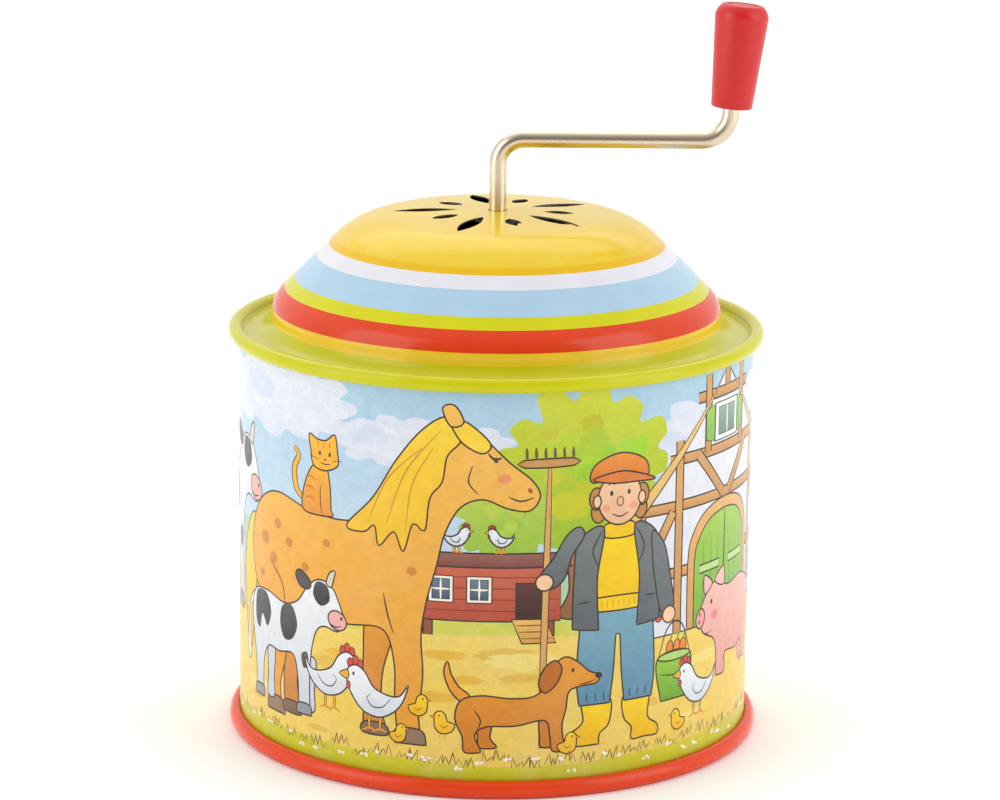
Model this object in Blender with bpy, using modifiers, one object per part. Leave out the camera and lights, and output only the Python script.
"""Tin music box with a hand crank.

A rolled tin body is closed by a base and a domed lid, whose edges are curled round its ends.
The crank wire stands on the axis of the tin, passes through the crown of the lid and carries a
worm. The worm turns a wheel on a pinned cylinder, whose pins pluck a steel comb. Units are
metres, +Z is up, and the origin is the middle of the foot.
"""
import math

import bmesh
import bpy
from mathutils import Matrix, Vector

MM = 0.001

# Tin
HEIGHT_TO_RIM = 81.0 * MM
RIM_RADIUS = 52.5 * MM
WALL_RADIUS = 50.5 * MM
SHEET = 0.3 * MM
GAP = 0.3 * MM
LID_PEAK = 103.1 * MM
CROWN_SPHERE = 300.0 * MM
SHOULDER_ARC = 17.0 * MM
CONE_SUM = 129.5 * MM          # radius plus height of every point on the 45 degree cone
NECK_RADIUS = 44.0 * MM
NECK_ARC = 6.0 * MM
NECK_FILLET = 3.5 * MM
BEAD_RADIUS = 1.4 * MM         # curl of the lid's and the base's edge round the wall's end
BEAD_FLAT = 15.0               # half angle of the flat crest of a bead, in degrees
BEAD_LIP = 100.0               # where the curl ends, in degrees from outward
BEAD_FLOOR = 1.6 * MM          # how far floor and brim lie inside the crest
BEAD_CHAMFER = 0.25 * MM
BASE_STRETCH = 1.22            # the bead of the base is that much taller than the lid's
BASE_EMBOSS_RADIUS = 44.0 * MM
BASE_EMBOSS = 1.2 * MM

# Sound slots: count, first angle, inner and outer radius, width
LONG_SLOTS = (5, 32.5, 7.8 * MM, 20.6 * MM, 3.3 * MM)
SHORT_SLOTS = (5, -3.5, 9.0 * MM, 15.0 * MM, 3.0 * MM)

# Crank
WIRE_RADIUS = 1.68 * MM
BORE_RADIUS = WIRE_RADIUS + GAP
CRANK_REST = math.radians(1.0)
CRANK_RADIUS = 45.15 * MM      # from the axis to the knob, at the knob's lower face
ARM_HEIGHT = 117.1 * MM
SHAFT_END = 80.9 * MM
LOWER_BEND = 5.0 * MM
UPPER_BEND = 5.5 * MM
KNOB_TILT = math.radians(5.1)
KNOB_BASE = 123.7 * MM
KNOB_LENGTH = 20.0 * MM
KNOB_FOOT_RADIUS = 4.0 * MM
KNOB_HEAD_RADIUS = 5.2 * MM
KNOB_CROWN = 3.6 * MM          # radius of the rounded slope between side and top
KNOB_CROWN_ANGLES = (52.0, 11.5)
KNOB_RECESS_RADIUS = 2.9 * MM
KNOB_RECESS_FLOOR = 15.5 * MM
SPINDLE_END = 17.2 * MM
PUSH_NUT_RADIUS = 2.6 * MM
WASHER_RADIUS = 3.2 * MM
WASHER_THICKNESS = 0.5 * MM
CLIP_RADIUS = 3.4 * MM
CLIP_THICKNESS = 0.6 * MM
CLIP_HEIGHT = SHAFT_END + 1.3 * MM

# Movement
DECK_TOP = 84.0 * MM
DECK_RADIUS = 43.35 * MM
DECK_SHEET = 0.7 * MM
DECK_FLANGE = 3.5 * MM
DECK_OPENING = 5.0 * MM
DECK_WINDOW_RADIUS = 6.0 * MM
DECK_WINDOW_PLACE = 32.0 * MM
BEDPLATE_BOTTOM = DECK_TOP + GAP
BEDPLATE_THICKNESS = 2.0 * MM
BEDPLATE_TOP = BEDPLATE_BOTTOM + BEDPLATE_THICKNESS
MESH_HEIGHT = 93.8 * MM        # height of the worm's middle and of the cylinder's axis
WHEEL_TEETH = 16
WORM_PITCH = 2.4 * MM
WHEEL_RADIUS = WHEEL_TEETH * WORM_PITCH / math.tau
WORM_RADIUS = 3.1 * MM
CENTRE_DISTANCE = WHEEL_RADIUS + WORM_RADIUS
WORM_TURNS = 2.6
WORM_LENGTH = 7.6 * MM
WORM_CORE_RADIUS = 2.45 * MM
THREAD_RADIUS = 0.5 * MM
THREAD_SINK = 0.27 * MM
WORM_LOW = MESH_HEIGHT - WORM_LENGTH / 2
WORM_HIGH = MESH_HEIGHT + WORM_LENGTH / 2
TOOTH_ADDENDUM = 0.4 * MM
TOOTH_DEDENDUM = 0.7 * MM
TOOTH_ROOT_HALF = 0.5 * MM
TOOTH_TIP_HALF = 0.25 * MM
WHEEL_THICKNESS = 2.4 * MM
CYLINDER_RADIUS = 5.3 * MM
CYLINDER_BORE = 4.5 * MM
CYLINDER_PLUG_RADIUS = 4.2 * MM
CYLINDER_HUB_RADIUS = 2.4 * MM
CYLINDER_START = 4.0 * MM
CYLINDER_END = 22.0 * MM
PIN_HEIGHT = 0.55 * MM
PIN_RADIUS = 0.25 * MM
PIN_TIP_RADIUS = 0.2 * MM
PINS_PER_TINE = 2
ARBOR_RADIUS = 1.1 * MM
ARBOR_BORE = ARBOR_RADIUS + GAP
ARBOR_START = -4.6 * MM
ARBOR_END = 26.1 * MM
TINES = 18
TINE_PITCH = 0.93 * MM
TINE_WIDTH = 0.6 * MM
COMB_START = 4.7 * MM
COMB_THICKNESS = 0.8 * MM
COMB_ROOT = -9.5 * MM
COMB_BACK = -20.0 * MM
COMB_TO_PINS = 0.35 * MM
SLIT_STEP = 4.0 * MM           # how much less deep the slits are at the high notes
BLOCK_SETBACK = 0.6 * MM
BLOCK_CORNER = 0.8 * MM
SCREW_RADIUS = 1.2 * MM
SCREW_HOLE = SCREW_RADIUS + GAP
SCREW_HEAD_RADIUS = 2.2 * MM
SCREW_HEAD_HEIGHT = 1.5 * MM
BRACKET_THICKNESS = 2.0 * MM
FOOT_THICKNESS = 1.4 * MM
FOOT_LENGTH = 7.0 * MM
FOOT_SCREW_PLACE = 3.6 * MM
BRACKET_HALF_WIDTH = 5.0 * MM
BRACKET_ABOVE_AXIS = 3.6 * MM
LEFT_BRACKET_FACE = -2.0 * MM
RIGHT_BRACKET_FACE = 23.6 * MM
SHAFT_CLEARANCE = 3.3 * MM
PLATE_LOW = (-14.0 * MM, -23.0 * MM)
PLATE_HIGH = (34.0 * MM, 16.5 * MM)
PLATE_CORNER = 5.0 * MM
BUSHING_FLANGE = 1.4 * MM
BUSHING_FLANGE_RADIUS = 4.5 * MM
UPPER_BUSHING_RADIUS = 3.2 * MM
LOWER_FLANGE_RADIUS = 4.2 * MM
LOWER_BUSHING_RADIUS = 3.0 * MM
CUTTER_REACH = 3.0 * MM

SHELL_SEGMENTS = 40
SMALL_SEGMENTS = 16
CYLINDER_SEGMENTS = 24
KNOB_SEGMENTS = 24
SCREW_SEGMENTS = 12
SHARP_ANGLE = math.radians(35.0)

for old in list(bpy.data.objects):
    bpy.data.objects.remove(old, do_unlink=True)

PARTS = bpy.data.collections.new("tin_music_box")
CUTTERS = bpy.data.collections.new("cutters")
bpy.context.scene.collection.children.link(PARTS)
bpy.context.scene.collection.children.link(CUTTERS)


def make_material(name, colour, roughness, metallic):
    material = bpy.data.materials.new(name)
    material.use_nodes = True
    shader = material.node_tree.nodes["Principled BSDF"]
    shader.inputs["Base Color"].default_value = (*colour, 1.0)
    shader.inputs["Roughness"].default_value = roughness
    shader.inputs["Metallic"].default_value = metallic
    material.diffuse_color = (*colour, 1.0)
    return material


PRINTED_TIN = make_material("printed_tin", (0.62, 0.70, 0.62), 0.25, 0.0)
LID_LACQUER = make_material("lid_lacquer", (0.86, 0.62, 0.09), 0.2, 0.0)
BASE_LACQUER = make_material("base_lacquer", (0.66, 0.07, 0.03), 0.25, 0.0)
NICKEL = make_material("nickel", (0.72, 0.69, 0.64), 0.15, 1.0)
RED_PLASTIC = make_material("red_plastic", (0.72, 0.04, 0.03), 0.4, 0.0)
STEEL = make_material("steel", (0.55, 0.55, 0.56), 0.35, 1.0)
BRASS = make_material("brass", (0.72, 0.50, 0.20), 0.3, 1.0)
ZINC = make_material("zinc", (0.48, 0.49, 0.50), 0.45, 1.0)
NYLON = make_material("nylon", (0.82, 0.80, 0.74), 0.5, 0.0)


def add_object(name, data, material, parent=None):
    """Add a named part to the parts' collection."""
    part = bpy.data.objects.new(name, data)
    PARTS.objects.link(part)
    if not data.materials:
        data.materials.append(material)
    part.parent = parent
    return part


def add_empty(name, location, rotation=(0.0, 0.0, 0.0), parent=None):
    """Add an empty that holds a joint's axis on its local Z."""
    empty = bpy.data.objects.new(name, None)
    empty.empty_display_size = 0.01
    empty.location = location
    empty.rotation_euler = rotation
    empty.parent = parent
    PARTS.objects.link(empty)
    return empty


def bake(source, name):
    """Return the evaluated mesh of an object, welded, and remove the object."""
    bpy.context.view_layer.update()
    graph = bpy.context.evaluated_depsgraph_get()
    mesh = bpy.data.meshes.new_from_object(source.evaluated_get(graph))
    mesh.name = name
    shape = bmesh.new()
    shape.from_mesh(mesh)
    bmesh.ops.remove_doubles(shape, verts=shape.verts, dist=0.001 * MM)
    shape.to_mesh(mesh)
    shape.free()
    mesh.shade_smooth()
    mesh.set_sharp_from_angle(angle=SHARP_ANGLE)
    bpy.data.objects.remove(source)
    return mesh


def arc(centre, radius, start, end, steps):
    """Points on an arc of radius and height, with angles in degrees from outward to up."""
    points = []
    for step in range(steps + 1):
        angle = math.radians(start + (end - start) * step / steps)
        points.append((centre[0] + radius * math.cos(angle), centre[1] + radius * math.sin(angle)))
    return points


def inner_face(path, thickness):
    """Offset a path of radius and height to the right of its direction, with mitred corners."""
    points = [Vector(point) for point in path]
    offset = []
    for index, point in enumerate(points):
        before = points[max(index - 1, 0)]
        after = points[min(index + 1, len(points) - 1)]
        ahead = (after - point).normalized() if after != point else (point - before).normalized()
        behind = (point - before).normalized() if before != point else ahead
        direction = (ahead + behind).normalized()
        stretch = 1.0 / direction.dot(ahead)
        offset.append((point.x + direction.y * thickness * stretch,
                       point.y - direction.x * thickness * stretch))
    return offset


def turned_mesh(name, outline, segments=SMALL_SEGMENTS, closed=True):
    """Turn an outline of radius and height about Z. It runs down its outer side."""
    corners = [(radius, 0.0, height) for radius, height in outline]
    edges = [(index, index + 1) for index in range(len(corners) - 1)]
    if closed:
        edges.append((len(corners) - 1, 0))
    profile = bpy.data.meshes.new(name + "_profile")
    profile.from_pydata(corners, edges, [])
    source = bpy.data.objects.new(name + "_source", profile)
    CUTTERS.objects.link(source)
    screw = source.modifiers.new("turn", "SCREW")
    screw.axis = "Z"
    screw.steps = segments
    screw.render_steps = segments
    screw.use_merge_vertices = True
    screw.merge_threshold = 0.001 * MM
    return bake(source, name)


def outline_mesh(name, loops, thickness):
    """Extrude flat loops, an outside and its holes, to both sides of Z = 0."""
    curve = bpy.data.curves.new(name + "_outline", "CURVE")
    curve.dimensions = "2D"
    curve.fill_mode = "BOTH"
    curve.extrude = thickness / 2
    for loop in loops:
        spline = curve.splines.new("POLY")
        spline.points.add(len(loop) - 1)
        for point, (x, y) in zip(spline.points, loop):
            point.co = (x, y, 0.0, 1.0)
        spline.use_cyclic_u = True
    source = bpy.data.objects.new(name + "_source", curve)
    CUTTERS.objects.link(source)
    return bake(source, name)


def wire_mesh(name, points, radius, resolution):
    """A round wire along a list of points."""
    curve = bpy.data.curves.new(name + "_path", "CURVE")
    curve.dimensions = "3D"
    curve.bevel_depth = radius
    curve.bevel_resolution = resolution
    curve.use_fill_caps = True
    spline = curve.splines.new("POLY")
    spline.points.add(len(points) - 1)
    for point, place in zip(spline.points, points):
        point.co = (*place, 1.0)
    source = bpy.data.objects.new(name + "_source", curve)
    CUTTERS.objects.link(source)
    return bake(source, name)


def box_mesh(name, low, high):
    """A box between two corners."""
    size = Vector(high) - Vector(low)
    middle = (Vector(high) + Vector(low)) / 2
    shape = bmesh.new()
    bmesh.ops.create_cube(shape, size=1.0)
    bmesh.ops.scale(shape, vec=size, verts=shape.verts)
    bmesh.ops.translate(shape, vec=middle, verts=shape.verts)
    mesh = bpy.data.meshes.new(name)
    shape.to_mesh(mesh)
    shape.free()
    return mesh


def rod_mesh(name, radius, low, high, segments=SMALL_SEGMENTS):
    """A plain round rod along Z."""
    shape = bmesh.new()
    bmesh.ops.create_cone(shape, cap_ends=True, segments=segments, radius1=radius,
                          radius2=radius, depth=high - low)
    bmesh.ops.translate(shape, vec=(0.0, 0.0, (high + low) / 2), verts=shape.verts)
    mesh = bpy.data.meshes.new(name)
    shape.to_mesh(mesh)
    shape.free()
    return mesh


def combine(part, mesh, operation, location=(0.0, 0.0, 0.0), rotation=(0.0, 0.0, 0.0)):
    """Cut a mesh from a part, or join it to the part, with a hidden helper object."""
    helper = bpy.data.objects.new(mesh.name + "_helper", mesh)
    CUTTERS.objects.link(helper)
    helper.parent = part
    helper.location = location
    helper.rotation_euler = rotation
    helper.display_type = "WIRE"
    helper.hide_render = True
    modifier = part.modifiers.new(mesh.name, "BOOLEAN")
    modifier.operation = operation
    modifier.solver = "EXACT"
    modifier.object = helper
    return helper


def circle(centre, radius, count=SMALL_SEGMENTS):
    """Corners of a round hole in a flat outline."""
    return [(centre[0] + radius * math.cos(math.tau * step / count),
             centre[1] + radius * math.sin(math.tau * step / count)) for step in range(count)]


def rounded_rectangle(low, high, radius, steps=4):
    """A rectangle with round corners, counter-clockwise."""
    corners = [(high[0] - radius, low[1] + radius, -90.0), (high[0] - radius, high[1] - radius, 0.0),
               (low[0] + radius, high[1] - radius, 90.0), (low[0] + radius, low[1] + radius, 180.0)]
    points = []
    for x, y, start in corners:
        points += arc((x, y), radius, start, start + 90.0, steps)
    return points


def collar(outer, inner, low, high):
    """Outline of a plain ring about Z."""
    return [(inner, high), (outer, high), (outer, low), (inner, low)]


# ---------------------------------------------------------------- tin

def bead_path(stretch=1.0):
    """Outer face of a rolled edge, from the floor outwards: radius, and depth below the crest."""
    centre_radius = RIM_RADIUS - BEAD_RADIUS
    centre_depth = BEAD_RADIUS * math.cos(math.radians(BEAD_FLAT))
    path = [(centre_radius - BEAD_RADIUS - BEAD_CHAMFER, BEAD_FLOOR)]
    path += arc((centre_radius, centre_depth), BEAD_RADIUS, 180.0, 270.0 - BEAD_FLAT, 3)
    path += arc((centre_radius, centre_depth), BEAD_RADIUS, 270.0 + BEAD_FLAT, 360.0 + BEAD_LIP, 7)
    return [(radius, depth * stretch) for radius, depth in path]


def flange_path(stretch=1.0):
    """Outer face of the wall's flared end inside a bead, from its tip to the straight wall."""
    path = [(WALL_RADIUS + 1.0 * MM, 1.7 * MM), (WALL_RADIUS + 0.55 * MM, 1.78 * MM),
            (WALL_RADIUS + 0.2 * MM, 1.98 * MM), (WALL_RADIUS, 2.32 * MM)]
    return [(radius, depth * stretch) for radius, depth in path]


def lid_profile():
    """Outer face of the lid, from the shaft hole outwards and down."""
    crown_centre = LID_PEAK - CROWN_SPHERE
    # The shoulder arc touches the crown sphere and the cone from inside.
    cone_sum = CONE_SUM - SHOULDER_ARC * math.sqrt(2.0)
    lift = cone_sum - crown_centre
    reach = CROWN_SPHERE - SHOULDER_ARC
    shoulder_radius = (lift - math.sqrt(2.0 * reach ** 2 - lift ** 2)) / 2
    shoulder = (shoulder_radius, cone_sum - shoulder_radius)
    meeting = math.degrees(math.atan2(shoulder[1] - crown_centre, shoulder[0]))
    hole = math.degrees(math.acos(BORE_RADIUS / CROWN_SPHERE))
    neck_centre_radius = NECK_RADIUS - NECK_ARC
    neck = (neck_centre_radius, CONE_SUM - NECK_ARC * math.sqrt(2.0) - neck_centre_radius)
    brim = HEIGHT_TO_RIM - BEAD_FLOOR
    path = arc((0.0, crown_centre), CROWN_SPHERE, hole, meeting, 2)
    path += arc(shoulder, SHOULDER_ARC, meeting, 45.0, 4)[1:]
    path += arc(neck, NECK_ARC, 45.0, 0.0, 2)
    path += arc((NECK_RADIUS + NECK_FILLET, brim + NECK_FILLET), NECK_FILLET, 180.0, 270.0, 4)
    path += [(radius, HEIGHT_TO_RIM - depth) for radius, depth in bead_path()]
    return path


def base_profile():
    """Outer face of the base, from its lip down, round the foot and in to the middle."""
    path = bead_path(BASE_STRETCH)[::-1]
    floor = BEAD_FLOOR * BASE_STRETCH
    path.append((BASE_EMBOSS_RADIUS + BASE_EMBOSS, floor))
    path.append((BASE_EMBOSS_RADIUS, floor + BASE_EMBOSS))
    path.append((0.0, floor + BASE_EMBOSS))
    return path


def petal(inner, outer, width, steps=5):
    """A pointed slot along +X made of two arcs."""
    half_length = (outer - inner) / 2
    radius = (half_length ** 2 + (width / 2) ** 2) / width
    middle = (inner + outer) / 2
    sweep = math.degrees(math.asin(half_length / radius))
    lower = arc((middle, radius - width / 2), radius, 270.0 - sweep, 270.0 + sweep, steps)
    upper = arc((middle, width / 2 - radius), radius, 90.0 - sweep, 90.0 + sweep, steps)
    return lower[:-1] + upper[:-1]


def make_tin():
    wall = [(radius, HEIGHT_TO_RIM - depth) for radius, depth in flange_path()]
    wall += flange_path(BASE_STRETCH)[::-1]
    wall_outline = wall + inner_face(wall, SHEET)[::-1]
    add_object("body_wall", turned_mesh("body_wall", wall_outline, SHELL_SEGMENTS), PRINTED_TIN)

    base = base_profile()
    base_outline = inner_face(base, SHEET)[::-1] + base
    base_mesh = turned_mesh("base_panel", base_outline, SHELL_SEGMENTS, closed=False)
    add_object("base_panel", base_mesh, BASE_LACQUER)

    face = lid_profile()
    lid_outline = face + inner_face(face, SHEET)[::-1]
    lid_mesh = turned_mesh("lid", lid_outline, SHELL_SEGMENTS)
    lid = add_object("lid", lid_mesh, LID_LACQUER)
    for count, first, inner, outer, width in (LONG_SLOTS, SHORT_SLOTS):
        for index in range(count):
            angle = math.radians(first + 360.0 * index / count)
            cutter = outline_mesh("slot", [petal(inner, outer, width)], 12.0 * MM)
            combine(lid, cutter, "DIFFERENCE", (0.0, 0.0, LID_PEAK), (0.0, 0.0, angle))


# ---------------------------------------------------------------- crank

def bend(centre, radius, start, end, steps=6):
    """Points of a bend in the plane of the crank."""
    return [(x, 0.0, z) for x, z in arc(centre, radius, start, end, steps)]


def crank_path():
    """Centre line of the wire: up the shaft, along the arm and up the knob's spindle."""
    tilt = math.degrees(KNOB_TILT)
    bend_height = ARM_HEIGHT + UPPER_BEND
    bend_end = bend_height - UPPER_BEND * math.sin(KNOB_TILT)
    bend_radius = CRANK_RADIUS - (KNOB_BASE - bend_end) * math.tan(KNOB_TILT) \
        - UPPER_BEND * math.cos(KNOB_TILT)
    path = [(0.0, 0.0, SHAFT_END)]
    path += bend((LOWER_BEND, ARM_HEIGHT - LOWER_BEND), LOWER_BEND, 180.0, 90.0)
    path += bend((bend_radius, bend_height), UPPER_BEND, -90.0, -tilt)
    path.append((CRANK_RADIUS + SPINDLE_END * math.sin(KNOB_TILT), 0.0,
                 KNOB_BASE + SPINDLE_END * math.cos(KNOB_TILT)))
    return path


def helix(radius, pitch, turns, centre_height, middle_angle, steps_per_turn=14):
    """Points of a right-handed helix that passes middle_angle at centre_height."""
    count = round(turns * steps_per_turn)
    points = []
    for step in range(count + 1):
        turn = turns * (step / count - 0.5)
        angle = middle_angle + math.tau * turn
        points.append((radius * math.cos(angle), radius * math.sin(angle),
                       centre_height + pitch * turn))
    return points


def make_worm(crank_axis):
    """Worm whose thread stands in a gap of the wheel, which lies at +Y."""
    core = turned_mesh("worm", collar(WORM_CORE_RADIUS, BORE_RADIUS, WORM_LOW, WORM_HIGH))
    worm = add_object("worm", core, BRASS, crank_axis)
    thread = helix(WORM_RADIUS - THREAD_SINK, WORM_PITCH, WORM_TURNS, MESH_HEIGHT,
                   math.radians(90.0) - CRANK_REST)
    combine(worm, wire_mesh("thread", thread, THREAD_RADIUS, 2), "UNION")


def make_knob(knob_axis):
    top_angle, side_angle = KNOB_CROWN_ANGLES
    crown_centre = (KNOB_HEAD_RADIUS - KNOB_CROWN * math.cos(math.radians(side_angle)),
                    KNOB_LENGTH - KNOB_CROWN * math.sin(math.radians(top_angle)))
    crown = [(KNOB_RECESS_RADIUS, KNOB_LENGTH)]
    crown += arc(crown_centre, KNOB_CROWN, top_angle, side_angle, 3)
    foot = [(KNOB_FOOT_RADIUS, 0.4 * MM), (KNOB_FOOT_RADIUS - 0.3 * MM, 0.0)]
    bore = [(BORE_RADIUS, 0.0), (BORE_RADIUS, KNOB_RECESS_FLOOR),
            (KNOB_RECESS_RADIUS, KNOB_RECESS_FLOOR)]
    knob = turned_mesh("crank_knob", crown + foot + bore, KNOB_SEGMENTS)
    add_object("crank_knob", knob, RED_PLASTIC, knob_axis)

    cap_radius = KNOB_RECESS_RADIUS - GAP
    cap_bottom = SPINDLE_END + 0.6 * MM
    cap = [(0.0, KNOB_LENGTH), (cap_radius - 0.3 * MM, KNOB_LENGTH),
           (cap_radius, KNOB_LENGTH - 0.3 * MM), (cap_radius, cap_bottom), (0.0, cap_bottom)]
    add_object("knob_cap", turned_mesh("knob_cap", cap, closed=False), RED_PLASTIC, knob_axis)


def make_crank():
    crank_axis = add_empty("crank_axis", (0.0, 0.0, 0.0), (0.0, 0.0, CRANK_REST))
    knob_place = (CRANK_RADIUS, 0.0, KNOB_BASE)
    knob_axis = add_empty("knob_axis", knob_place, (0.0, KNOB_TILT, 0.0), crank_axis)
    wire = wire_mesh("crank_wire", crank_path(), WIRE_RADIUS, 4)
    add_object("crank_wire", wire, NICKEL, crank_axis)
    make_worm(crank_axis)
    make_knob(knob_axis)

    nut_low = KNOB_RECESS_FLOOR + GAP
    nut_high = nut_low + WASHER_THICKNESS
    nut = turned_mesh("knob_push_nut", collar(PUSH_NUT_RADIUS, BORE_RADIUS, nut_low, nut_high))
    add_object("knob_push_nut", nut, STEEL, knob_axis)

    washers = {"thrust_washer_upper": WORM_HIGH + GAP,
               "thrust_washer_lower": WORM_LOW - GAP - WASHER_THICKNESS}
    for name, low in washers.items():
        ring = turned_mesh(name, collar(WASHER_RADIUS, BORE_RADIUS, low, low + WASHER_THICKNESS))
        add_object(name, ring, STEEL, crank_axis)

    opening = 50.0
    clip = arc((0.0, 0.0), CLIP_RADIUS, opening, 360.0 - opening, 14)
    clip += arc((0.0, 0.0), BORE_RADIUS, 360.0 - opening, opening, 14)
    clip_mesh = outline_mesh("shaft_clip", [clip], CLIP_THICKNESS)
    shaft_clip = add_object("shaft_clip", clip_mesh, STEEL, crank_axis)
    shaft_clip.location.z = CLIP_HEIGHT


# ---------------------------------------------------------------- movement

def gear_outline():
    """Straight-sided teeth, with a gap at the angle that faces the worm."""
    root = WHEEL_RADIUS - TOOTH_DEDENDUM
    tip = WHEEL_RADIUS + TOOTH_ADDENDUM
    step = math.tau / WHEEL_TEETH
    corners = []
    for tooth in range(WHEEL_TEETH):
        middle = step * (tooth + 0.5)
        for radius, half_width, side in ((root, TOOTH_ROOT_HALF, -1), (tip, TOOTH_TIP_HALF, -1),
                                         (tip, TOOTH_TIP_HALF, 1), (root, TOOTH_ROOT_HALF, 1)):
            angle = middle + side * half_width / radius
            corners.append((radius * math.cos(angle), radius * math.sin(angle)))
    return corners


def make_pins():
    """One mesh of short square pins, each in the middle of one of the tube's facets."""
    shape = bmesh.new()
    for tine in range(TINES):
        along = COMB_START + TINE_PITCH * (tine + 0.5)
        for repeat in range(PINS_PER_TINE):
            facet = (tine * 7 + repeat * 11) % CYLINDER_SEGMENTS
            angle = math.tau * (facet + 0.5) / CYLINDER_SEGMENTS
            place = Matrix.Translation((0.0, 0.0, along)) @ Matrix.Rotation(angle, 4, "Z")
            place = place @ Matrix.Translation((CYLINDER_RADIUS, 0.0, 0.0))
            place = place @ Matrix.Rotation(math.radians(90.0), 4, "Y")
            bmesh.ops.create_cone(shape, cap_ends=True, segments=4, radius1=PIN_RADIUS,
                                  radius2=PIN_TIP_RADIUS, depth=2 * PIN_HEIGHT, matrix=place)
    mesh = bpy.data.meshes.new("pins")
    shape.to_mesh(mesh)
    shape.free()
    return mesh


def make_cylinder():
    """Everything that turns on the horizontal arbor. Local Z of its axis points along +X."""
    axis_place = (0.0, CENTRE_DISTANCE, MESH_HEIGHT)
    axis = add_empty("cylinder_axis", axis_place, (0.0, math.radians(90.0), 0.0))
    hub = circle((0.0, 0.0), ARBOR_BORE)
    wheel = outline_mesh("worm_wheel", [gear_outline(), hub], WHEEL_THICKNESS)
    add_object("worm_wheel", wheel, BRASS, axis)

    tube = collar(CYLINDER_RADIUS, CYLINDER_BORE, CYLINDER_START, CYLINDER_END)
    tube_mesh = turned_mesh("music_cylinder", tube, CYLINDER_SEGMENTS)
    cylinder = add_object("music_cylinder", tube_mesh, BRASS, axis)
    combine(cylinder, make_pins(), "UNION")

    caps = {"cylinder_cap_left": (CYLINDER_START, 1.0), "cylinder_cap_right": (CYLINDER_END, -1.0)}
    for name, (end, inward) in caps.items():
        plug_end = end + inward * 2.0 * MM
        plug_face = end + inward * 0.5 * MM
        hub_end = end - inward * 1.0 * MM
        rim = [(ARBOR_BORE, plug_end), (CYLINDER_PLUG_RADIUS, plug_end),
               (CYLINDER_PLUG_RADIUS, plug_face), (CYLINDER_HUB_RADIUS, plug_face),
               (CYLINDER_HUB_RADIUS, hub_end), (ARBOR_BORE, hub_end)]
        outline = rim if inward > 0 else rim[::-1]
        add_object(name, turned_mesh(name, outline), NYLON, axis)

    arbor = rod_mesh("cylinder_arbor", ARBOR_RADIUS, ARBOR_START, ARBOR_END)
    add_object("cylinder_arbor", arbor, STEEL, axis)


def screw_mesh(name, length):
    """Cheese-head screw standing on Z = 0 with its shank below."""
    bevel = 0.25 * MM
    outline = [(0.0, SCREW_HEAD_HEIGHT), (SCREW_HEAD_RADIUS - bevel, SCREW_HEAD_HEIGHT),
               (SCREW_HEAD_RADIUS, SCREW_HEAD_HEIGHT - bevel), (SCREW_HEAD_RADIUS, 0.0),
               (SCREW_RADIUS, 0.0), (SCREW_RADIUS, -length), (0.0, -length)]
    return turned_mesh(name, outline, SCREW_SEGMENTS, closed=False)


def add_screw(name, place, length, upside_down=False):
    """A slotted screw whose head stands on the given place."""
    screw = add_object(name, screw_mesh(name, length), STEEL)
    screw.location = place
    if upside_down:
        screw.rotation_euler = (math.pi, 0.0, 0.0)
    slot = box_mesh("slot_cutter", (-3.0 * MM, -0.3 * MM, SCREW_HEAD_HEIGHT - 0.6 * MM),
                    (3.0 * MM, 0.3 * MM, SCREW_HEAD_HEIGHT + 1.0 * MM))
    combine(screw, slot, "DIFFERENCE")


def make_bracket(name, near, outward):
    """Bearing bracket: an upright plate with a foot that points away from the cylinder."""
    far = near + outward * BRACKET_THICKNESS
    toe = far + outward * FOOT_LENGTH
    low = BEDPLATE_TOP + GAP
    top = MESH_HEIGHT + BRACKET_ABOVE_AXIS
    corners = [(near, low), (toe, low), (toe, low + FOOT_THICKNESS), (far, low + FOOT_THICKNESS),
               (far, top), (near, top)]
    bracket = add_object(name, outline_mesh(name, [corners], 2 * BRACKET_HALF_WIDTH), ZINC)
    bracket.rotation_euler = (math.radians(90.0), 0.0, 0.0)
    bracket.location = (0.0, CENTRE_DISTANCE, 0.0)
    bore = rod_mesh("arbor_bore", ARBOR_BORE, -CUTTER_REACH, CUTTER_REACH)
    combine(bracket, bore, "DIFFERENCE", ((near + far) / 2, MESH_HEIGHT, 0.0),
            (0.0, math.radians(90.0), 0.0))
    screw_x = far + outward * FOOT_SCREW_PLACE
    hole = rod_mesh("screw_hole", SCREW_HOLE, -CUTTER_REACH, CUTTER_REACH)
    combine(bracket, hole, "DIFFERENCE", (screw_x, low, 0.0), (math.radians(90.0), 0.0, 0.0))
    return screw_x


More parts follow.
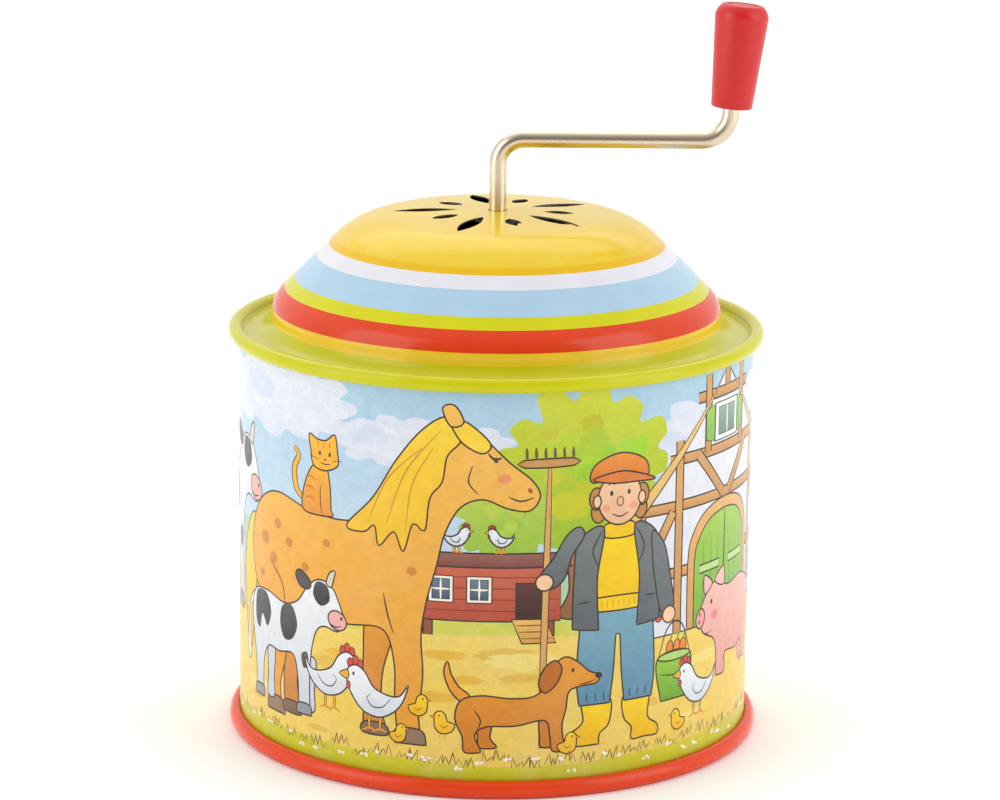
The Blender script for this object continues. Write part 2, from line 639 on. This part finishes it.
def make_comb(screw_places):
    """Comb of tapering tines in front of the cylinder, on its block."""
    tip = CENTRE_DISTANCE - CYLINDER_RADIUS - PIN_HEIGHT - COMB_TO_PINS
    width = TINES * TINE_PITCH
    outline = [(COMB_START + width, COMB_BACK), (COMB_START + width, COMB_ROOT)]
    for tine in reversed(range(TINES)):
        middle = COMB_START + TINE_PITCH * (tine + 0.5)
        # The slits are deepest between the low notes at the left end.
        slit_end = COMB_ROOT + SLIT_STEP * tine / TINES
        outline += [(middle + TINE_WIDTH / 2, slit_end), (middle + TINE_WIDTH / 2, tip),
                    (middle - TINE_WIDTH / 2, tip), (middle - TINE_WIDTH / 2, slit_end)]
    outline += [(COMB_START, COMB_ROOT), (COMB_START, COMB_BACK)]
    holes = [circle(place, SCREW_HOLE) for place in screw_places]
    comb = add_object("comb", outline_mesh("comb", [outline, *holes], COMB_THICKNESS), STEEL)
    comb.location.z = MESH_HEIGHT

    block_low = BEDPLATE_TOP + GAP
    block_high = MESH_HEIGHT - COMB_THICKNESS / 2 - GAP
    block_corner = (COMB_START + width, COMB_ROOT - BLOCK_SETBACK)
    block = rounded_rectangle((COMB_START, COMB_BACK), block_corner, BLOCK_CORNER, 2)
    block_mesh = outline_mesh("comb_base", [block, *holes], block_high - block_low)
    base = add_object("comb_base", block_mesh, ZINC)
    base.location.z = (block_low + block_high) / 2


def make_deck(screw_places):
    """Stamped cup pressed into the neck of the lid."""
    corner = 0.8 * MM
    bend_centre = (DECK_RADIUS - corner, DECK_TOP - corner)
    face = [(DECK_OPENING, DECK_TOP), *arc(bend_centre, corner, 90.0, 0.0, 2),
            (DECK_RADIUS, DECK_TOP - DECK_FLANGE)]
    outline = face + inner_face(face, DECK_SHEET)[::-1]
    deck_mesh = turned_mesh("mounting_deck", outline, SHELL_SEGMENTS)
    deck = add_object("mounting_deck", deck_mesh, STEEL)
    for place in screw_places:
        hole = rod_mesh("deck_hole", SCREW_HOLE, -CUTTER_REACH, CUTTER_REACH)
        combine(deck, hole, "DIFFERENCE", (*place, DECK_TOP))
    for degrees in (125.0, 180.0, 235.0):
        angle = math.radians(degrees)
        window = rod_mesh("deck_window", DECK_WINDOW_RADIUS, -CUTTER_REACH, CUTTER_REACH)
        spot = (DECK_WINDOW_PLACE * math.cos(angle), DECK_WINDOW_PLACE * math.sin(angle))
        combine(deck, window, "DIFFERENCE", (*spot, DECK_TOP))


def make_movement():
    comb_screws = {"comb_screw_left": (8.2 * MM, -16.0 * MM),
                   "comb_screw_right": (17.9 * MM, -16.0 * MM)}
    deck_screws = {"deck_screw_front_left": (-10.0 * MM, -18.0 * MM),
                   "deck_screw_front_right": (29.5 * MM, -18.0 * MM),
                   "deck_screw_rear": (10.0 * MM, 13.0 * MM)}
    left_screw = make_bracket("bearing_bracket_left", LEFT_BRACKET_FACE, -1.0)
    right_screw = make_bracket("bearing_bracket_right", RIGHT_BRACKET_FACE, 1.0)
    bracket_screws = {"bracket_screw_left": (left_screw, CENTRE_DISTANCE),
                      "bracket_screw_right": (right_screw, CENTRE_DISTANCE)}

    places = [*comb_screws.values(), *deck_screws.values(), *bracket_screws.values()]
    holes = [circle(place, SCREW_HOLE) for place in places]
    holes.append(circle((0.0, 0.0), SHAFT_CLEARANCE))
    edge = rounded_rectangle(PLATE_LOW, PLATE_HIGH, PLATE_CORNER)
    plate = outline_mesh("bedplate", [edge, *holes], BEDPLATE_THICKNESS)
    bedplate = add_object("bedplate", plate, ZINC)
    bedplate.location.z = BEDPLATE_BOTTOM + BEDPLATE_THICKNESS / 2

    make_comb(list(comb_screws.values()))
    make_deck(list(deck_screws.values()))

    shank_end = BEDPLATE_BOTTOM + 0.2 * MM
    for name, place in comb_screws.items():
        head = MESH_HEIGHT + COMB_THICKNESS / 2 + GAP
        add_screw(name, (*place, head), head - shank_end)
    for name, place in bracket_screws.items():
        head = BEDPLATE_TOP + FOOT_THICKNESS + 2 * GAP
        add_screw(name, (*place, head), head - shank_end)
    for name, place in deck_screws.items():
        head = DECK_TOP - DECK_SHEET - GAP
        add_screw(name, (*place, head), BEDPLATE_TOP - 0.2 * MM - head, upside_down=True)


def make_bushings():
    """Plain bearings of the crank: one under the crown, one in the bedplate."""
    flange_top = LID_PEAK - SHEET - GAP - 0.1 * MM
    flange_foot = flange_top - BUSHING_FLANGE
    low = WORM_HIGH + WASHER_THICKNESS + 2 * GAP
    upper = [(BORE_RADIUS, flange_top), (BUSHING_FLANGE_RADIUS, flange_top),
             (BUSHING_FLANGE_RADIUS, flange_foot), (UPPER_BUSHING_RADIUS, flange_foot),
             (UPPER_BUSHING_RADIUS, low), (BORE_RADIUS, low)]
    add_object("shaft_bushing", turned_mesh("shaft_bushing", upper), NYLON)

    flange_low = BEDPLATE_TOP + GAP
    top = WORM_LOW - WASHER_THICKNESS - 2 * GAP
    bottom = CLIP_HEIGHT + CLIP_THICKNESS
    lower = [(BORE_RADIUS, top), (LOWER_FLANGE_RADIUS, top), (LOWER_FLANGE_RADIUS, flange_low),
             (LOWER_BUSHING_RADIUS, flange_low), (LOWER_BUSHING_RADIUS, bottom), (BORE_RADIUS, bottom)]
    add_object("lower_bushing", turned_mesh("lower_bushing", lower), BRASS)


make_tin()
make_crank()
make_cylinder()
make_bushings()
make_movement()
bpy.context.view_layer.update()
